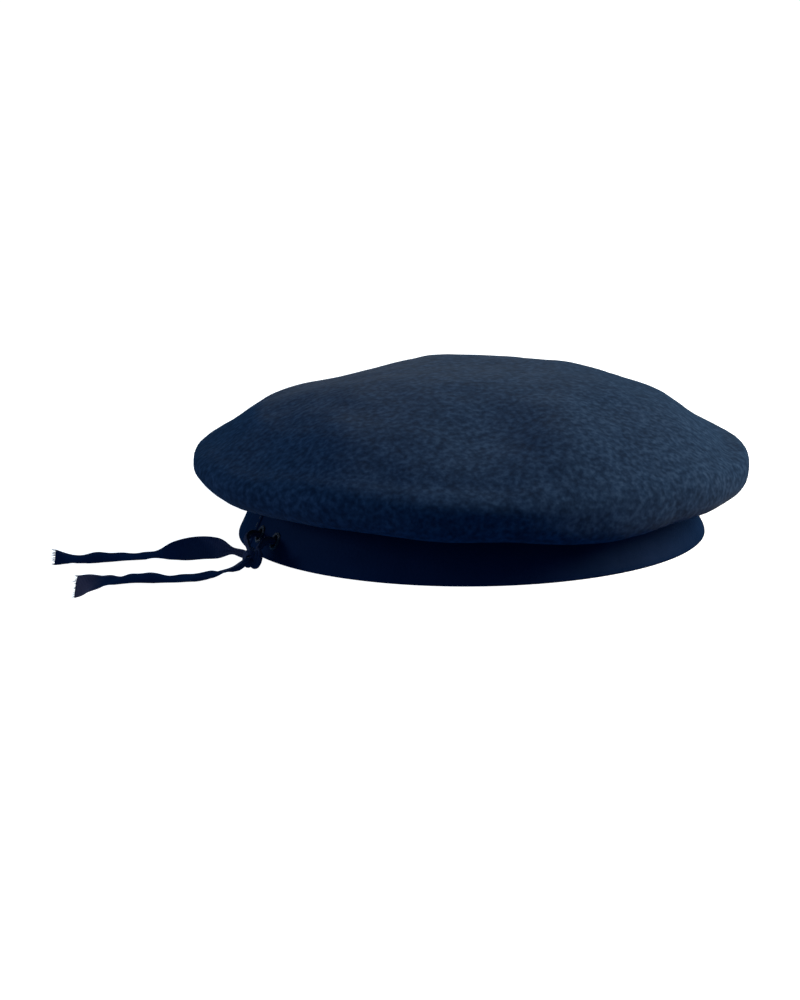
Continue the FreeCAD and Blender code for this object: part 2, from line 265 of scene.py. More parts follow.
def satin_material():
    """Black lining satin, with its weave drawn out one way and soft wrinkles."""
    satin = Material(
        "beret_lining_satin", Roughness=0.38, Specular_IOR_Level=0.5, Anisotropic=0.5,
        Sheen_Weight=0.2, Sheen_Roughness=0.4)
    weave = satin.noise(1500, 2.0, 0.5, (1.0, 0.15, 1.0))
    cloud = satin.noise(35, 3.0, 0.5)
    base = satin.ramp(cloud, (0.3, (0.0060, 0.0065, 0.0090)), (0.7, (0.0095, 0.0100, 0.0135)))
    satin.colour(satin.blend(0.35, base, satin.ramp(weave, (0.3, (0.004,) * 3), (0.7, (0.02,) * 3))))
    satin.bump(satin.noise(28, 3.0, 0.5), 0.5, 1.5)
    satin.bump(weave, 0.3, 0.15)
    return satin.data


def tape_material():
    """Ribbed cotton tape, woven: ribs across it, with a finer warp along it."""
    tape = Material(
        "drawstring_tape", Roughness=0.85, Specular_IOR_Level=0.08,
        Sheen_Weight=0.06, Sheen_Roughness=0.4, Sheen_Tint=(0.80, 0.85, 1.0, 1.0))
    ribs = tape.ribs("X", 2 * math.pi / RIB_PITCH)
    warp = tape.ribs("Y", 2 * math.pi / WARP_PITCH)
    cloud = tape.noise(160, 3.0, 0.6)
    base = tape.ramp(cloud, (0.3, (0.0145, 0.0175, 0.0440)), (0.7, (0.0215, 0.0245, 0.0560)))
    threads = tape.ramp(tape.math("MULTIPLY", ribs, warp), (0.0, (0.75,) * 3), (0.9, (1.35,) * 3))
    tape.colour(tape.blend(1.0, base, threads, "MULTIPLY"))
    tape.bump(ribs, 0.5, 0.12)
    tape.bump(warp, 0.35, 0.06)
    return tape.data


def thread_material():
    """Waxed navy sewing thread."""
    thread = Material(
        "beret_thread", Roughness=0.55, Specular_IOR_Level=0.35, Sheen_Weight=0.2, Sheen_Roughness=0.4)
    fibre = thread.noise(2600, 2.0, 0.6)
    thread.colour(thread.ramp(fibre, (0.3, (0.0055, 0.0070, 0.0140)), (0.7, (0.0120, 0.0140, 0.0240))))
    thread.bump(fibre, 0.5, 0.1)
    return thread.data


def label_material():
    """Blank pale label cloth."""
    label = Material("beret_label_cloth", Roughness=0.75, Specular_IOR_Level=0.25, Sheen_Weight=0.15)
    weave = label.noise(1800, 2.0, 0.5, (1.0, 1.0, 0.2))
    label.colour(label.ramp(weave, (0.3, (0.30, 0.30, 0.29)), (0.7, (0.48, 0.47, 0.44))))
    label.bump(weave, 0.5, 0.12)
    return label.data


def buckram_material():
    """Stiff dark buckram, coarsely woven."""
    buckram = Material("beret_stiffener_buckram", Roughness=0.8, Specular_IOR_Level=0.2, Sheen_Weight=0.1)
    weave = buckram.noise(900, 2.0, 0.5)
    buckram.colour(buckram.ramp(weave, (0.3, (0.020, 0.021, 0.024)), (0.7, (0.045, 0.046, 0.050))))
    buckram.bump(weave, 0.6, 0.25)
    return buckram.data


FELT_LOOK = felt_material()
LEATHER_LOOK = leather_material()
SATIN_LOOK = satin_material()
TAPE_LOOK = tape_material()
THREAD_LOOK = thread_material()
LABEL_LOOK = label_material()
BUCKRAM_LOOK = buckram_material()


# ---- Mesh tools ----

class Build:
    """Collects closed bodies, and makes one object of them."""

    def __init__(self):
        self.points = []
        self.faces = []
        self.uvs = []

    def add(self, points, faces, uvs=None):
        first = len(self.points)
        self.points += [tuple(point) for point in np.asarray(points, dtype=float)]
        self.faces += [tuple(first + i for i in face) for face in faces]
        self.uvs += list(uvs) if uvs is not None else [(0.0, 0.0)] * (len(self.points) - first)

    def object(self, name, material, slot, body=HAT):
        mesh = bpy.data.meshes.new(name)
        mesh.from_pydata([tuple(c * MM for c in point) for point in self.points], [], self.faces)
        layer = mesh.uv_layers.new(name="cloth")
        corners = np.empty(len(mesh.loops), dtype=np.int32)
        mesh.loops.foreach_get("vertex_index", corners)
        layer.data.foreach_set("uv", np.asarray(self.uvs, dtype=np.float32)[corners].ravel())
        mesh.materials.append(material)
        mesh.polygons.foreach_set("use_smooth", [True] * len(mesh.polygons))
        mesh.update()
        made = bpy.data.objects.new(name, mesh)
        bpy.context.scene.collection.objects.link(made)
        if body:
            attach(made, body)
        return made


def unit(vectors):
    length = np.linalg.norm(vectors, axis=-1, keepdims=True)
    return vectors / np.where(length < 1e-9, 1.0, length)


def grid_normals(grid):
    """Outward normals of a grid whose rows run down from the crown's middle and columns run round."""
    down = np.gradient(grid, axis=0)
    across = np.roll(grid, -1, axis=1) - np.roll(grid, 1, axis=1)
    normals = np.cross(down, across)
    flat = np.linalg.norm(normals, axis=-1) < 1e-9
    normals[flat] = (0, 0, 1)
    return unit(normals)


def strip_faces(rows, columns, wrap_rows, wrap_columns):
    """Quads over a grid of points, numbered row by row."""
    faces = []
    for i in range(rows if wrap_rows else rows - 1):
        for j in range(columns if wrap_columns else columns - 1):
            a, b = i * columns + j, i * columns + (j + 1) % columns
            c = ((i + 1) % rows) * columns
            faces.append((a, c + j, c + (j + 1) % columns, b))
    return faces


def add_layer(build, outer, inner, wrap=True, pole=False):
    """A closed layer between two grids of the same shape.

    With a pole, the first row of each is a single point. With no wrap, the layer is a patch.
    """
    if pole:
        outer, inner = outer[1:], inner[1:]
    rows, columns = outer.shape[:2]
    points = np.concatenate([outer, inner[::-1]]).reshape(-1, 3)
    count = 2 * rows
    if pole:
        faces = strip_faces(count, columns, False, True)
        top, low = len(points), len(points) + 1
        points = np.concatenate([points, [outer[0].mean(axis=0)], [inner[0].mean(axis=0)]])
        last = (count - 1) * columns
        for j in range(columns):
            ahead = (j + 1) % columns
            faces.append((top, j, ahead))
            faces.append((low, last + ahead, last + j))
    else:
        faces = strip_faces(count, columns, True, wrap)
    if not wrap:
        for i in range(rows - 1):
            for j in (0, columns - 1):
                a, b = i * columns + j, (i + 1) * columns + j
                c, d = (count - 2 - i) * columns + j, (count - 1 - i) * columns + j
                faces.append((a, d, c, b) if j == 0 else (a, b, c, d))
    build.add(points, faces)


def sweep(build, centres, sections, uvs=None):
    """A closed tube: one section of points for each centre, with its ends filled by a fan."""
    count, size = sections.shape[:2]
    points = sections.reshape(-1, 3)
    faces = strip_faces(count, size, False, True)
    first, last = len(points), len(points) + 1
    points = np.concatenate([points, [centres[0]], [centres[-1]]])
    base = (count - 1) * size
    for j in range(size):
        ahead = (j + 1) % size
        faces.append((first, j, ahead))
        faces.append((last, base + ahead, base + j))
    if uvs is not None:
        uvs = list(uvs) + [uvs[0], uvs[-1]]
    build.add(points, faces, uvs)


def tangents(line):
    return unit(np.gradient(line, axis=0))


def travel(line):
    """The distance run at each point of a line."""
    steps = np.linalg.norm(np.diff(line, axis=0), axis=1)
    return np.concatenate([[0.0], np.cumsum(steps)])


def resampled(line, count):
    """The same line as evenly spaced points."""
    run = travel(line)
    wanted = np.linspace(0, run[-1], count)
    return np.stack([np.interp(wanted, run, line[:, k]) for k in range(3)], axis=1)


def side_vectors(ahead, start):
    """Sideways vectors carried along a line without twist."""
    side = np.asarray(start, dtype=float)
    sides = []
    for direction in ahead:
        side = side - direction * np.dot(side, direction)
        side = side / np.linalg.norm(side)
        sides.append(side)
    return np.array(sides)


def rings(across, over, turn, squash=1.0):
    """Unit rings of points about a line, one for each of its points."""
    return (
        np.cos(turn)[None, :, None] * across[:, None, :]
        + squash * np.sin(turn)[None, :, None] * over[:, None, :])


def add_thread(build, line, radius, sides=6):
    """A fine round thread along a line, with rounded ends."""
    line = np.asarray(line, dtype=float)
    ahead = tangents(line)
    least = np.argmin(np.abs(ahead[0]))
    across = side_vectors(ahead, np.eye(3)[least])
    over = np.cross(ahead, across)
    turn = np.linspace(0, 2 * math.pi, sides, endpoint=False)
    run = travel(line)
    taper = np.sqrt(np.clip(np.minimum(run, run[-1] - run) / (radius * 1.2), 0.12, 1.0))
    sections = line[:, None, :] + rings(across, over, turn) * (radius * taper)[:, None, None]
    sweep(build, line, sections)


# ---- The crown's surface ----

def band(up, out):
    """A point of the band's section, as (radius, height)."""
    return np.array([
        RIM_RADIUS - up * BAND_LEAN + out * BAND_ACROSS, up * BAND_ACROSS + out * BAND_LEAN])


# The crown's outer section: its corners as (radius, height), and the radius that rounds each
THROAT = band(29.0, SHELL_OUT)       # where the underside turns down into the binding
CROWN_POINTS = [
    np.array([0.0, CROWN_HEIGHT]), np.array([46.0, CROWN_HEIGHT]), np.array([96.0, 57.5]),
    np.array([125.6, 41.0]), np.array([125.3, 20.1]), THROAT, band(3.4, SHELL_OUT)]
CROWN_RADII = (150.0, 140.0, 13.0, 10.0, 1.5)
CROWN_STEP, CROWN_TURN = 2.2, math.radians(9)    # the section's longest step, along and in a bend
CROWN_COLUMNS = 400


def rounded_section(points, radii, step, turn_step):
    """Points along straight runs joined by tangent arcs."""
    line = [points[0]]

    def run_to(end):
        start = line[-1]
        count = max(1, round(np.linalg.norm(end - start) / step))
        line.extend(start + (end - start) * k / count for k in range(1, count + 1))

    for i, radius in enumerate(radii):
        before, corner, after = points[i], points[i + 1], points[i + 2]
        back, ahead = unit(before - corner), unit(after - corner)
        half_turn = (math.pi - math.acos(np.clip(np.dot(back, ahead), -1, 1))) / 2
        reach = radius * math.tan(half_turn)
        run_to(corner + back * reach)
        centre = corner + unit(back + ahead) * radius / math.cos(half_turn)
        first, last = corner + back * reach - centre, corner + ahead * reach - centre
        start_angle = math.atan2(first[1], first[0])
        sweep_angle = math.atan2(
            first[0] * last[1] - first[1] * last[0], float(np.dot(first, last)))
        arc = abs(sweep_angle)
        count = max(2, round(max(arc * radius / step, arc / turn_step)))
        for k in range(1, count + 1):
            angle = start_angle + sweep_angle * k / count
            line.append(centre + radius * np.array([math.cos(angle), math.sin(angle)]))
    run_to(points[-1])
    return np.array(line)


def photo_plan(x, y):
    """Plan distances to the photograph's right and towards its camera."""
    return (x * math.cos(AZIMUTH) + y * math.sin(AZIMUTH),
            x * math.sin(AZIMUTH) - y * math.cos(AZIMUTH))


def wave(angle, centre, spread):
    """A smooth hump of height 1 at one place round the hat."""
    away = (angle - centre + 180.0) % 360.0 - 180.0
    return np.exp(-(away / spread) ** 2)


# Each dent or swelling of the crown's top: its place and reach to the photograph's right and towards the
# camera, as (right, nearer, reach right, reach nearer, height)
CROWN_DENTS = [
    (-58, -45, 24, 45, -2.0),
    (-8, -60, 30, 40, 0.6),
    (22, -50, 18, 40, -1.3),
    (-42, -50, 24, 45, -1.4),
    (102.5, -15, 13, 60, -5.2),
    (70, -30, 25, 50, -0.5),
    (114, 0, 9, 50, -3.0),
    (-56, 72, 16, 30, 2.4),
    (-90, 60, 15, 30, -1.2),
    (4, 78, 18, 30, -3.0),
    (39, 74, 16, 32, 3.0),
    (-84, 30, 14, 34, -0.9),
    (62, 15, 22, 20, 0.8),
]
CREST = np.array([124.4, 38.0])      # where the roll's top edge stands proud at the front
LUMPS = [(0.028, 0.9), (0.07, 0.35), (0.17, 0.12)]   # frequency per millimetre, and height
# Stretches of the roll, as (middle, spread) in degrees from the photograph's right towards its camera
FRONT_SAG, FRONT_RISE, RIGHT_SAG = (62, 16), (122, 18), (8, 24)
FRONT_BEAD = (82, 32)
NOSE, NOSE_UNDER, NOSE_TIP = (180, 42), (180, 32), (180, 28)
RIGHT_END, RIGHT_TIP = (0, 40), (0, 28)


def relaxed(points, free):
    """The crown as the cloth really sits: sunk, swollen and dented, where it is free of the band."""
    points = points.copy()
    x, y, z = points[..., 0], points[..., 1], points[..., 2]
    a, b = photo_plan(x, y)
    top = np.clip((z - 34.0) / 10.0, 0, 1)
    drop = sum(
        height * np.exp(-((a - at_a) / reach_a) ** 2 - ((b - at_b) / reach_b) ** 2)
        for at_a, at_b, reach_a, reach_b, height in CROWN_DENTS)
    z = z + drop * top * free
    angle = np.degrees(np.arctan2(b, a))
    rho = np.hypot(x, y / PLAN_RATIO)
    low = np.clip((46.0 - z) / 14.0, 0, 1) * np.clip((rho - 97.0) / 10.0, 0, 1) * free
    tip = np.clip((rho - 116.0) / 8.0, 0, 1)
    z = z + low * (
        -3.4 * wave(angle, *FRONT_SAG) + 2.6 * wave(angle, *FRONT_RISE) - 2.6 * wave(angle, *RIGHT_SAG)
        + wave(angle, *NOSE_UNDER) * (2.8 * tip - 1.6 * (1 - tip)))
    edge = np.clip((rho - 96.0) / 26.0, 0, 1) ** 1.3 * free
    middle = 31.0 + 3.5 * wave(angle, *NOSE)
    flatter = 0.40 * wave(angle, *NOSE) + 0.10 * wave(angle, *RIGHT_END)
    z = middle + (z - middle) * (1 - edge * flatter)
    points[..., 2] = z
    stretch = 1 + np.clip((rho - 100.0) / 20.0, 0, 1) * free * (
        0.003 * wave(angle, *NOSE_TIP) - 0.006 * wave(angle, *RIGHT_TIP))
    points[..., :2] *= stretch[..., None]
    return points


def lumpy(grid, normals, free):
    """Uneven milling and handling: soft lumps over the whole crown."""
    lift = np.zeros(grid.shape[:2])
    for frequency, height in LUMPS:
        layer = [noise.noise(Vector(point) * frequency) for point in grid.reshape(-1, 3)]
        lift += height * np.array(layer).reshape(grid.shape[:2])
    return grid + normals * (lift * free)[..., None]


def crown_grid(columns):
    """The crown's outer face, its normals, the run down its section, and the section before it sags."""
    section = rounded_section(CROWN_POINTS, CROWN_RADII, CROWN_STEP, CROWN_TURN)
    turn = np.linspace(0, 2 * math.pi, columns, endpoint=False)
    radius, height = section[:, 0][:, None], section[:, 1][:, None]
    grid = np.stack([
        radius * np.cos(turn), PLAN_RATIO * radius * np.sin(turn),
        np.broadcast_to(height, (len(section), columns))], axis=-1)
    run = travel(np.column_stack([section, np.zeros(len(section))]))
    throat = run[np.argmin(np.linalg.norm(section - THROAT, axis=1))]
    held, ease = 3.0, 12.0
    free = np.clip((throat - held - run) / ease, 0, 1)[:, None] * np.ones((1, columns))
    grid = relaxed(grid, (free > 0).astype(float) * np.clip(free * 3, 0, 1))
    normals = grid_normals(grid)
    crest = run[np.argmin(np.linalg.norm(section - CREST, axis=1))]
    a, b = photo_plan(grid[..., 0], grid[..., 1])
    front = wave(np.degrees(np.arctan2(b, a)), *FRONT_BEAD)
    bead = 1.5 * np.exp(-((run - crest) / 4.2) ** 2) - 0.8 * np.exp(-((run - crest + 12.0) / 6.0) ** 2)
    grid = lumpy(grid + normals * (bead[:, None] * front)[..., None], normals, free)
    return grid, grid_normals(grid), run, section


CROWN, CROWN_NORMALS, CROWN_RUN, CROWN_SECTION = crown_grid(CROWN_COLUMNS)


def under(depth, rows=slice(None), columns=slice(None)):
    """The crown's surface at a depth inside it."""
    depth = np.asarray(depth, dtype=float)
    if depth.ndim == 1:
        depth = depth[:, None, None]
    return CROWN[rows, columns] - CROWN_NORMALS[rows, columns] * depth


def crown_shell():
    """The felt: dome, roll, underside and the collar inside the binding, all in one."""
    build = Build()
    add_layer(build, CROWN, under(FELT), pole=True)
    shell = build.object("felt_crown", FELT_LOOK, "felt")
    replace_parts(shell, "crown_shell")


crown_shell()


# ---- Lining ----

SEAM_RADIUS = 104.0
TOP_ABOVE = 41                      # the crown's top is over this height, its underside below it
LINING_FOOT_UP = 14.0               # how far down inside the band the side panel reaches


def lining_depths():
    """Loose under the crown, close against the felt in the band."""
    in_band, ease = 26.0, 18.0
    slack = np.clip((CROWN_RUN[-1] - CROWN_RUN - in_band) / ease, 0, 1)
    return FELT + 0.1 + 1.1 * slack


def lining():
    """Both panels, and the section's row at which they meet."""
    depths = lining_depths()
    seam = np.argmin(np.abs(CROWN_SECTION[:, 0] - SEAM_RADIUS)
                     + 100 * (CROWN_SECTION[:, 1] < TOP_ABOVE))
    end = np.argmin(np.linalg.norm(CROWN_SECTION - band(LINING_FOOT_UP, SHELL_OUT), axis=1))
    made = []
    for name, rows, pole in (("lining_tip_cloth", slice(0, seam + 1), True),
                             ("lining_side_cloth", slice(seam + 1, end + 1), False)):
        build = Build()
        add_layer(build, under(depths[rows], rows), under(depths[rows] + LINING, rows), pole=pole)
        made.append(build.object(name, SATIN_LOOK, "satin"))
    tip, side = made
    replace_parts(tip, "lining_tip")
    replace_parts(side, "lining_side")
    return seam, depths


SEAM_ROW, DEPTHS = lining()


def seam_stitches():
    """Upright stitches that join the lining's two panels."""
    build = Build()
    inside = DEPTHS[SEAM_ROW] + LINING + 0.2
    columns = CROWN.shape[1]
    every, half_length = 4, 1.45
    for k in range(0, columns, every):
        here = slice(k, k + 1)
        a = under(inside, slice(SEAM_ROW - 1, SEAM_ROW), here)[0, 0]
        b = under(inside, slice(SEAM_ROW + 2, SEAM_ROW + 3), here)[0, 0]
        middle, reach = (a + b) / 2, unit(b - a) * half_length
        add_thread(build, [middle - reach, middle - reach / 3, middle + reach / 3, middle + reach], 0.18)
    stitches = build.object("lining_seam_thread", THREAD_LOOK, "thread")
    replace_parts(stitches, "lining_seam_stitches")


seam_stitches()


def stiffener():
    """The patch behind the badge, in the front of the crown's roll."""
    rows = [i for i in range(len(CROWN_SECTION))
            if CROWN_SECTION[i, 0] > RIM_RADIUS and CROWN_SECTION[i, 1] > 30.0]
    columns = CROWN.shape[1]
    first, last = (round(angle / 360 * columns) for angle in STIFFENER)
    part = (slice(rows[0], rows[-1] + 1), slice(first, last + 1))
    build = Build()
    gap, thick = 0.05, 0.7
    add_layer(build, under(FELT + gap, *part), under(FELT + gap + thick, *part), wrap=False)
    patch = build.object("badge_stiffener_patch", BUCKRAM_LOOK, "stiffener")
    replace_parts(patch, "badge_stiffener")


stiffener()


# ---- Headband ----

LAP_LIFT = 0.6                # how far the lapped end stands up
INNER_SHARE = 0.6             # of the relief's full depth, since the sweatband is pressed flatter
EXIT_SLOT = (3.4, 6.0)        # width and height


def band_frames(angles, ups, outs):
    """Points, run-round, up-band and outward vectors on the band, for arrays of angles in degrees."""
    turn = np.radians(np.asarray(angles, dtype=float))
    ring = np.stack([np.cos(turn), PLAN_RATIO * np.sin(turn), np.zeros_like(turn)], axis=-1)
    point = ring * (RIM_RADIUS - ups * BAND_LEAN + outs * BAND_ACROSS)[..., None]
    point[..., 2] = ups * BAND_ACROSS + outs * BAND_LEAN
    around = unit(np.stack([-np.sin(turn), PLAN_RATIO * np.cos(turn), np.zeros_like(turn)], axis=-1))
    slope = ring * -BAND_LEAN
    slope[..., 2] = BAND_ACROSS
    slope = unit(slope)
    return point, around, slope, unit(np.cross(around, slope))


def step_up(values, low, high):
    """From 0 to 1 with an eased start and end."""
    share = np.clip((values - low) / (high - low), 0, 1)
    return share * share * (3 - 2 * share)


def outer_relief(angle, up):
    """How far the binding's outer face stands out: the lapped end, seam groove, puckers and wear."""
    lap = step_up(angle, *LAP_RISE) * (1 - step_up(angle, LAP_END - 0.35, LAP_END))
    foot = step_up(up, 1.0, 2.4)
    high = 1 - step_up(up, 24.3, 24.9)
    groove = -0.30 * np.exp(-((up - TOPSTITCH_UP) / 0.9) ** 2)
    pucker = 0.16 * np.exp(-((up - TOPSTITCH_UP + 1.6) / 1.6) ** 2) * np.cos(
        np.radians(angle) * 145) * (0.6 + 0.4 * np.sin(np.radians(angle) * 11))
    swell = 0.25 * np.sin(np.radians(angle) * 7 + up * 0.11) * np.sin(up / BINDING_HIGH * math.pi)
    return LAP_LIFT * lap * foot * high + groove + pucker + swell * (1 - lap)


def inner_relief(angle, up):
    """How far the sweatband's face sinks towards the felt: the seam's groove and a slow swell."""
    groove = 0.25 * np.exp(-((up - TOPSTITCH_UP) / 0.9) ** 2)
    swell = -0.15 * np.sin(np.radians(angle) * 9 + up * 0.2)
    return INNER_SHARE * (groove + swell * np.sin(up / BINDING_HIGH * math.pi))


def foot_point(inwards):
    """A point of the resting face, as (up, out) of the band."""
    return inwards * BAND_LEAN, -inwards * BAND_ACROSS


def binding_outline():
    """The folded strip's outline as (up, out, share of the outer relief), from the outer leg's top round.

    The sweatband's own face has no share, and takes the inner relief.
    """
    sweatband = -BINDING_DEPTH
    outline = [(up, 0.0, 1.0) for up in (*np.linspace(24.5, 19.6, 12), *np.linspace(18.6, 2.2, 17))]
    outline += [(1.3, -0.12, 0.5), (0.55, -0.42, 0.1)]
    outline += [(*foot_point(inwards), 0.0) for inwards in (1.0, 2.6, 4.3)]
    outline += [(3.9, -4.95, 0.0), (4.6, -5.40, 0.0)]
    outline += [(up, sweatband, None) for up in (*np.linspace(5.6, 20.0, 11), *np.linspace(21.0, 24.2, 8))]
    outline += [(24.6, sweatband + 0.25, 0.0), (24.5, sweatband + 0.9, 0.0)]
    outline += [(up, sweatband + LEATHER, 0.0) for up in np.linspace(23.8, 3.6, 9)]
    outline += [(2.2, -3.2, 0.0), (1.75, -2.2, 0.0), (1.9, -1.5, 0.0)]
    outline += [(up, -LEATHER, 0.0) for up in np.linspace(3.4, 23.9, 9)]
    outline += [(24.7, -LEATHER + 0.15, 0.0), (24.95, -0.55, 0.6), (24.85, -0.2, 0.9)]
    return outline


def headband():
    angles = np.unique(np.concatenate([
        np.arange(0, 158, 1.0), np.arange(158, 195, 0.35),
        np.arange(LAP_END - 0.4, LAP_END + 0.1, 0.05), np.arange(195, 360, 1.0)]))
    rows = []
    for up, out, share in binding_outline():
        ups = np.full_like(angles, up)
        lift = inner_relief(angles, ups) if share is None else share * outer_relief(angles, ups)
        point = band_frames(angles, ups, np.full_like(angles, out) + lift)[0]
        point[:, 2] = np.maximum(point[:, 2], 0.0)
        rows.append(point)
    grid = np.array(rows)[::-1]
    build = Build()
    build.add(grid.reshape(-1, 3), strip_faces(len(rows), len(angles), True, True))
    binding = build.object("leather_binding", LEATHER_LOOK, "leather")
    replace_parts(binding, "headband_binding")
    cut_exits(binding)


def exit_frame(sign):
    """The point, run-round, up-band and outward vectors at one of the drawstring's exits."""
    vectors = band_frames(np.array([REAR + sign * EXIT_ANGLE]), np.array([EXIT_UP]), np.array([0.0]))
    return [vector[0] for vector in vectors]


def oval(width, height, count):
    """Points round an upright slot with round ends, evenly spaced, as (across, up)."""
    radius, straight = width / 2, (height - width) / 2
    turn = np.linspace(0, 2 * math.pi, 720, endpoint=False)
    line = np.stack([radius * np.cos(turn), radius * np.sin(turn) + straight * np.sign(np.sin(turn)),
                     np.zeros_like(turn)], axis=1)
    closed = np.concatenate([line, line[:1]])
    return resampled(closed, count + 1)[:-1, :2]


def cut_exits(binding):
    """The two slots that the drawstring comes out of, cut through the outer leg."""
    for name, sign in (("near", 1), ("far", -1)):
        point, around, slope, normal = exit_frame(sign)
        ring = oval(*EXIT_SLOT, 40)
        build = Build()
        levels = [1.6, -1.35]        # from outside the leather to just through it
        sections = np.array([
            [point + around * x + slope * y + normal * level for x, y in ring] for level in levels])
        centres = [point + normal * level for level in levels]
        sweep(build, centres, sections)
        cutter = build.object("cutter_" + name, LEATHER_LOOK, "leather", body=None)
        change = binding.modifiers.new("exit", "BOOLEAN")
        change.operation = "DIFFERENCE"
        change.solver = "EXACT"
        change.object = cutter
        with bpy.context.temp_override(object=binding, active_object=binding):
            bpy.ops.object.modifier_apply(modifier="exit")
        mesh = cutter.data
        bpy.data.objects.remove(cutter)
        bpy.data.meshes.remove(mesh)
    for polygon in binding.data.polygons:
        polygon.use_smooth = True


headband()


def lockstitch(build, point, along, normal, length):
    """A short thread that dips into the leather at both ends."""
    radius, rise, sunk = 0.19, 0.16, 0.12
    share = np.linspace(-1, 1, 8)
    line = point + np.outer(share * length / 2, along) + np.outer(rise * (1 - share ** 4) - sunk, normal)
    add_thread(build, line, radius)


def topstitches():
    """The row along the binding's upper edge: needle thread outside, bobbin thread on the sweatband."""
    random.seed(11)
    count = round(2 * math.pi * (RIM_RADIUS - TOPSTITCH_UP / 2) / STITCH_PITCH)
    outer, inner = Build(), Build()
    for k in range(count):
        angle = 360.0 * k / count
        here = np.array([angle])
        up = np.array([TOPSTITCH_UP + random.uniform(-0.12, 0.12)])
        point, around, slope, normal = band_frames(here, up, outer_relief(here, up))
        if not -0.9 < LAP_END - angle < 0.9:      # no stitch across the lap's edge
            lean = slope[0] * random.uniform(-0.05, 0.05)
            lockstitch(outer, point[0], unit(around[0] + lean), normal[0],
                       STITCH_LENGTH + random.uniform(-0.15, 0.15))
        point, around, _, normal = band_frames(here, up, inner_relief(here, up) - BINDING_DEPTH)
        lockstitch(inner, point[0], around[0], -normal[0], STITCH_LENGTH)
    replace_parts(outer.object("outer_topstitch_thread", THREAD_LOOK, "thread"), "topstitch_outer")
    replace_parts(inner.object("inner_topstitch_thread", THREAD_LOOK, "thread"), "topstitch_inner")


def lap_thread():
    """The upright row that closes the lapped end."""
    build = Build()
    angle = np.array([LAP_END - 1.0])
    for k in range(5):
        up = np.array([3.8 + STITCH_PITCH * k])
        point, around, slope, normal = band_frames(angle, up, outer_relief(angle, up))
        lockstitch(build, point[0], unit(slope[0] + around[0] * 0.05), normal[0], STITCH_LENGTH)
    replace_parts(build.object("lap_thread", THREAD_LOOK, "thread"), "lap_stitches")


topstitches()
lap_thread()


def buttonhole(name, sign):
    """Satin stitch wrapped round the slot's edge."""
    random.seed(20 + sign)
    count = 54
    inner, outer = oval(3.3, 5.9, count), oval(5.6, 8.2, count)
    # One stitch, from inside the slot over its edge and down into the leather
    shares = np.array([0.0, 0.0, 0.12, 0.35, 0.65, 0.9, 1.0])
    point, around, slope, normal = exit_frame(sign)
    relief = float(outer_relief(np.array([REAR + sign * EXIT_ANGLE]), np.array([EXIT_UP]))[0])
    heights = np.array([-0.7, 0.05, 0.42, 0.58, 0.52, 0.25, -0.15]) + relief
    build = Build()
    for k in range(count):
        (x0, y0), (x1, y1) = inner[k], outer[k] * random.uniform(0.965, 1.0)
        line = [point + around * (x0 + (x1 - x0) * s) + slope * (y0 + (y1 - y0) * s) + normal * h
                for s, h in zip(shares, heights)]
        add_thread(build, line, 0.2)
    made = build.object("buttonhole_thread_" + name, THREAD_LOOK, "thread")
    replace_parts(made, "exit_buttonhole_" + name)


buttonhole("near", 1)
buttonhole("far", -1)


# ---- Drawstring ----

# The tape's routes in metres. Their points are the CAD's, moved up to 7 mm to follow the
# photograph, with the heights that the rolled tape has when it lies on the table.
LEAD_NEAR = [
    (-0.1051, -0.0078, 0.0094), (-0.1094, -0.0108, 0.0093), (-0.1134, -0.0146, 0.0074)]
LEAD_FAR = [
    (-0.1051, 0.0073, 0.0094), (-0.1104, 0.0022, 0.0096), (-0.1146, -0.0052, 0.0088),
    (-0.1166, -0.0130, 0.0068)]
TAIL_UPPER = [
    (-0.1182, -0.0118, 0.0052),
    (-0.1212, -0.0052, 0.0062),
    (-0.1266, 0.0014, 0.0064),
    (-0.1335, 0.0074, 0.0056),
    (-0.1425, 0.0108, 0.0044),
    (-0.1515, 0.0146, 0.0026),
    (-0.1615, 0.0172, 0.0026),
    (-0.1725, 0.0196, 0.0029),
    (-0.1820, 0.0226, 0.0027),
    (-0.1905, 0.0264, 0.0036),
]
TAIL_LOWER = [
    (-0.1212, -0.0186, 0.0034),
    (-0.1272, -0.0216, 0.0028),
    (-0.1346, -0.0250, 0.0020),
    (-0.1420, -0.0278, 0.0020),
    (-0.1498, -0.0292, 0.0027),
    (-0.1566, -0.0276, 0.0026),
    (-0.1636, -0.0248, 0.0027),
    (-0.1698, -0.0210, 0.0031),
    (-0.1762, -0.0186, 0.0029),
    (-0.1834, -0.0189, 0.0030),
    (-0.1908, -0.0218, 0.0037),
    (-0.1978, -0.0254, 0.0044),
    (-0.2034, -0.0274, 0.0048),
]
KNOT = np.array([-116.8, -16.5, 4.5])
ON_TABLE = 0.02               # the least height of the tape's skin
RIPPLE = 0.25
FRAY_LENGTH = 2.2


def route_line(name, route):
    """The smooth line of a route, in millimetres, read from its NURBS spline."""
    curve = bpy.data.curves.new(name, "CURVE")
    curve.dimensions = "3D"
    curve.resolution_u = 16
    spline = curve.splines.new("NURBS")
    spline.points.add(len(route) - 1)
    for point, place in zip(spline.points, route):
        point.co = (*place, 1.0)
    spline.order_u = 3
    spline.use_endpoint_u = True
    holder = bpy.data.objects.new(name, curve)
    mesh = bpy.data.meshes.new_from_object(holder)
    line = np.array([tuple(vertex.co) for vertex in mesh.vertices]) / MM
    bpy.data.objects.remove(holder)
    bpy.data.curves.remove(curve)
    bpy.data.meshes.remove(mesh)
    return line


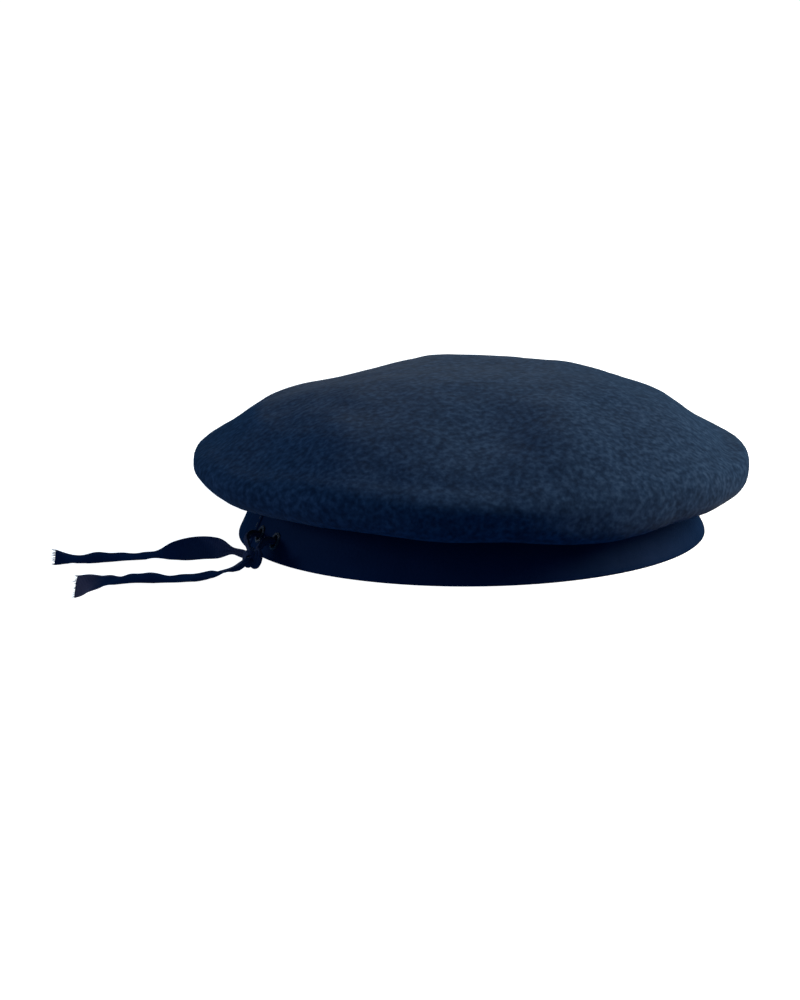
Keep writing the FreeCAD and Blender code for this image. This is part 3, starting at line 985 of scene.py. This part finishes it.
def keyed(share, keys):
    """A smooth value along a run, from (share, value) keys."""
    places, values = zip(*keys)
    plain = np.interp(share, places, values)
    reach = 6
    kernel = np.hanning(2 * reach + 1)
    padded = np.concatenate([np.full(reach, plain[0]), plain, np.full(reach, plain[-1])])
    return np.convolve(padded, kernel / kernel.sum(), "valid")


def ribbon(build, line, roll, width, cup, seed):
    """A flat woven tape along a line: roll turns it about the line, width gathers it, cup bows it."""
    random.seed(seed)
    count = len(line)
    ahead = tangents(line)
    flat = ahead.copy()
    flat[:, 2] = 0
    flat = unit(flat)
    level = np.stack([-flat[:, 1], flat[:, 0], np.zeros(count)], axis=1)
    upward = unit(np.cross(ahead, level))
    level = np.cross(upward, ahead)
    turn = np.radians(roll)[:, None]
    across = level * np.cos(turn) + upward * np.sin(turn)
    face = unit(np.cross(ahead, across))
    run = travel(line)
    spans = np.linspace(-1, 1, 15)
    phase = random.uniform(0, 6)
    tops, bottoms = [], []
    for s in spans:
        edge = 1 + 0.35 * (abs(s) > 0.9)          # the woven edge is thicker
        wavy = RIPPLE * np.sin(run * 0.55 + s * 2.2 + phase) * abs(s)
        fold = (1 - width / TAPE_WIDTH) * 0.9 * np.cos(s * 7.5 + phase) * (1 - 0.3 * abs(s))
        lift = cup * (1 - s * s) + wavy + fold
        place = line + across * (s * width / 2)[:, None] + face * lift[:, None]
        tops.append(place + face * TAPE_THICK * edge / 2)
        bottoms.append(place - face * TAPE_THICK * edge / 2)
    sections = np.stack(tops + bottoms[::-1], axis=1)
    sections[..., 2] = np.maximum(sections[..., 2], ON_TABLE)
    uvs = [(run[i], s * TAPE_WIDTH / 2) for i in range(count) for s in (*spans, *spans[::-1])]
    sweep(build, sections.mean(axis=1), sections, uvs)
    return sections, ahead


def fray(build, section, ahead, seed):
    """Loose warp threads at a cut end."""
    random.seed(seed)
    half = len(section) // 2
    threads = 34
    for _ in range(threads):
        s = random.uniform(0, half - 1.001)
        i, part = int(s), s - int(s)
        start = section[i] * (1 - part) + section[i + 1] * part
        reach = FRAY_LENGTH * random.uniform(0.3, 1.0)
        drift = np.array([random.uniform(-1, 1) for _ in range(3)]) * 0.35 * reach
        shares = np.linspace(0, 1, 5)[:, None]
        line = start - ahead * 0.5 + ahead * (reach + 0.5) * shares + drift * shares ** 2
        line[:, 2] = np.maximum(line[:, 2], 0.08)
        add_thread(build, line, random.uniform(0.05, 0.09), 4)


def tail(name, route, length, roll, width, cup, seed, node):
    """A loose end, from inside the knot to its frayed cut. Roll, width and cup are keyed along it."""
    line = resampled(route_line(name, route), 150)
    inside = KNOT + (line[0] - KNOT) * np.array([[0.35], [0.55], [0.78]])
    woven = np.concatenate([inside, line])
    share = np.linspace(0, 1, len(woven))
    build = Build()
    sections, ahead = ribbon(
        build, woven, keyed(share, roll), keyed(share, width), keyed(share, cup), seed)
    fray(build, sections[-1], ahead[-1], seed + 1)
    made = build.object(name, TAPE_LOOK, "tape", STRING)
    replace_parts(made, node)
    return made, line, length


upper = tail(
    "drawstring_upper_tape", TAIL_UPPER, 0.0858,
    [(0, 60), (0.08, 66), (0.17, 86), (0.29, 98), (0.36, 84), (0.41, 60), (0.46, 38), (0.52, 28),
     (0.62, 32), (0.70, 34), (0.78, 46), (0.85, 36), (0.93, 32), (0.97, 46), (1, 66)],
    [(0, 4.4), (0.06, 3.6), (0.10, 3.2), (0.13, 6.0), (0.17, 9.0), (0.22, 10), (1, 10)],
    [(0, 0.4), (0.2, 1.0), (0.6, 0.5), (0.78, 1.2), (1, 0.3)],
    5, "drawstring_tail_upper")
lower = tail(
    "drawstring_lower_tape", TAIL_LOWER, 0.0881,
    [(0, 60), (0.04, 56), (0.07, 44), (0.105, 34), (0.14, 27), (0.175, 22), (0.21, 26), (0.245, 36),
     (0.28, 43), (0.35, 42), (0.39, 33), (0.49, 31), (0.53, 38), (0.58, 43), (0.63, 38), (0.69, 34),
     (0.735, 31), (0.77, 34), (0.81, 41), (0.877, 52), (0.91, 63), (0.95, 74), (1, 84)],
    [(0, 5.0), (0.06, 8.0), (0.13, 7.5), (0.22, 6.5), (0.30, 8.5), (0.45, 9.5), (1, 10)],
    [(0, 0.6), (0.3, 0.9), (0.42, 0.4), (0.58, 1.1), (0.75, 0.4), (1, 0.3)],
    9, "drawstring_tail_lower")


def bunched(build, line, radius, squash, pleats, seed, closed=False):
    """Tape drawn together lengthwise, as it is through an eyelet or in a knot."""
    random.seed(seed)
    ahead = unit(np.roll(line, -1, 0) - np.roll(line, 1, 0)) if closed else tangents(line)
    across = side_vectors(ahead, (0.1, 0.2, 1.0))
    if closed:
        slip = math.atan2(
            np.dot(np.cross(across[-1], across[0]), ahead[0]), np.dot(across[-1], across[0]))
        share = np.arange(len(line)) / len(line)
        over = np.cross(ahead, across)
        across = across * np.cos(share * slip)[:, None] + over * np.sin(share * slip)[:, None]
    over = np.cross(ahead, across)
    turn = np.linspace(0, 2 * math.pi, 40, endpoint=False)
    run = travel(line)
    phase = random.uniform(0, 6)
    crease = (
        1 + 0.14 * np.cos(pleats * turn[None, :] + 0.35 * np.sin(run * 0.5 + phase)[:, None])
        + 0.07 * np.cos((2 * pleats + 1) * turn[None, :] + phase))
    size = np.asarray(radius) * np.ones(len(line))
    sections = line[:, None, :] + rings(across, over, turn, squash) * (size[:, None] * crease)[..., None]
    sections[..., 2] = np.maximum(sections[..., 2], ON_TABLE)
    uvs = [(run[i], t * 1.6) for i in range(len(line)) for t in turn]
    if closed:
        build.add(sections.reshape(-1, 3), strip_faces(len(line), len(turn), True, True), uvs)
    else:
        sweep(build, line, sections, uvs)


def lead(name, sign, route):
    """The gathered stretch from inside an exit to the knot. It is attached to neither body."""
    point, _, _, normal = exit_frame(sign)
    start = tuple((point - normal * LEATHER) * MM)
    line = resampled(route_line("route_" + name, [start] + route), 44)
    share = np.linspace(0, 1, len(line))
    build = Build()
    size = 1.28 + 0.25 * np.sin(share * math.pi)
    bunched(build, line, size, 0.72, 5, 31 + sign)
    made = build.object("drawstring_lead_tape_" + name, TAPE_LOOK, "tape", None)
    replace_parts(made, "drawstring_lead_" + name)
    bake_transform(made)
    return made


near_lead = lead("near", 1, LEAD_NEAR)
far_lead = lead("far", -1, LEAD_FAR)


def knot():
    """An overhand knot of the two tapes together, drawn down tight: a trefoil of gathered tape."""
    t = np.linspace(0, 2 * math.pi, 150, endpoint=False)
    size, height, tilt = 0.98, 2.5, math.radians(20)
    line = np.stack([
        size * (np.sin(t) + 2 * np.sin(2 * t)), size * (np.cos(t) - 2 * np.cos(2 * t)),
        -height * np.sin(3 * t)], axis=1)
    line = np.stack([
        line[:, 0] * math.cos(tilt) - line[:, 1] * math.sin(tilt),
        line[:, 0] * math.sin(tilt) + line[:, 1] * math.cos(tilt), line[:, 2]], axis=1)
    build = Build()
    bunched(build, line + KNOT, 1.75, 0.86, 5, 40, closed=True)
    made = build.object("drawstring_knot_tape", TAPE_LOOK, "tape", STRING)
    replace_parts(made, "drawstring_knot")
    return made


tied = knot()


# ---- CAD nodes that are already right ----

for node, look in (
        ("drawstring_loop", TAPE_LOOK), ("size_label", LABEL_LOOK), ("label_stitches", THREAD_LOOK)):
    for part in bpy.data.objects:
        if part.name == node:
            part.data.materials.clear()
            part.data.materials.append(look)


# ---- Floor and light ----

def glowing_piece(name, points, faces, **sockets):
    """Something that the camera sees as white and that adds no light to the object."""
    mesh = bpy.data.meshes.new(name)
    mesh.from_pydata(points, [], faces)
    piece = bpy.data.objects.new(name, mesh)
    bpy.context.scene.collection.objects.link(piece)
    look = Material(name + "_paper", Emission_Color=(1, 1, 1, 1), Emission_Strength=1.0, **sockets)
    mesh.materials.append(look.data)
    piece.visible_diffuse = False
    piece.visible_glossy = False
    return piece


def make_floor():
    reach = 3.0
    points = [(-reach, -reach, 0), (reach, -reach, 0), (reach, reach, 0), (-reach, reach, 0)]
    floor = glowing_piece("floor", points, [(0, 1, 2, 3)], Roughness=0.95, Specular_IOR_Level=0.1,
                          Base_Color=(0.5, 0.5, 0.5, 1))


def make_backdrop():
    """A pale wall all round with a lid, which the light passes through."""
    reach, high, count = 2.9, 6.0, 48
    turn = [2 * math.pi * k / count for k in range(count)]
    points = [(reach * math.cos(t), reach * math.sin(t), z) for z in (0, high) for t in turn]
    points.append((0, 0, high))
    faces = [(k, (k + 1) % count, count + (k + 1) % count, count + k) for k in range(count)]
    faces += [(count + k, count + (k + 1) % count, 2 * count) for k in range(count)]
    wall = glowing_piece("backdrop", points, faces, Roughness=1.0, Specular_IOR_Level=0.0,
                         Base_Color=(0, 0, 0, 1))
    wall.visible_shadow = False
    wall.visible_transmission = False


def area_light(name, place, energy, size, colour):
    """A square lamp that faces the hat. The energy is in watts, the size in metres."""
    light = bpy.data.lights.new(name, "AREA")
    light.energy = energy
    light.size = size
    light.color = colour
    holder = bpy.data.objects.new(name, light)
    bpy.context.scene.collection.objects.link(holder)
    holder.location = place
    holder.rotation_euler = place.to_track_quat("Z", "Y").to_euler()


def make_light():
    """A blue-grey sky, a warm key from the photograph's right and a cool rim from its left."""
    world = bpy.data.worlds.new("studio")
    world.use_nodes = True
    nodes, links = world.node_tree.nodes, world.node_tree.links
    background = nodes["Background"]
    coordinates = nodes.new("ShaderNodeTexCoord")
    split = nodes.new("ShaderNodeSeparateXYZ")
    ramp = nodes.new("ShaderNodeValToRGB")
    shift = nodes.new("ShaderNodeMapRange")
    shift.inputs["From Min"].default_value = -1.0
    links.new(coordinates.outputs["Generated"], split.inputs["Vector"])
    links.new(split.outputs["Z"], shift.inputs["Value"])
    links.new(shift.outputs["Result"], ramp.inputs["Fac"])
    links.new(ramp.outputs["Color"], background.inputs["Color"])
    stops = (                        # from straight down, by the horizon at 0.5, to straight up
        (0.0, (0.03, 0.17, 0.52)), (0.46, (0.02, 0.15, 0.38)), (0.53, (0.04, 0.15, 0.26)),
        (0.72, (0.19, 0.39, 0.59)), (1.0, (0.07, 0.36, 0.72)))
    set_stops(ramp.color_ramp, stops)
    background.inputs["Strength"].default_value = 0.9
    bpy.context.scene.world = world
    key = RIGHT * 1.0 - NEARER * 0.03 + Vector((0, 0, 0.55))
    area_light("key", key, 25.0, 0.5, (1.0, 0.88, 0.71))
    rim = RIGHT * -1.6 + NEARER * 0.1 + Vector((0, 0, 0.42))
    area_light("rim", rim, 9.5, 0.4, (0.80, 0.87, 1.0))


make_floor()
make_backdrop()
make_light()
bpy.context.scene.view_settings.view_transform = "Standard"
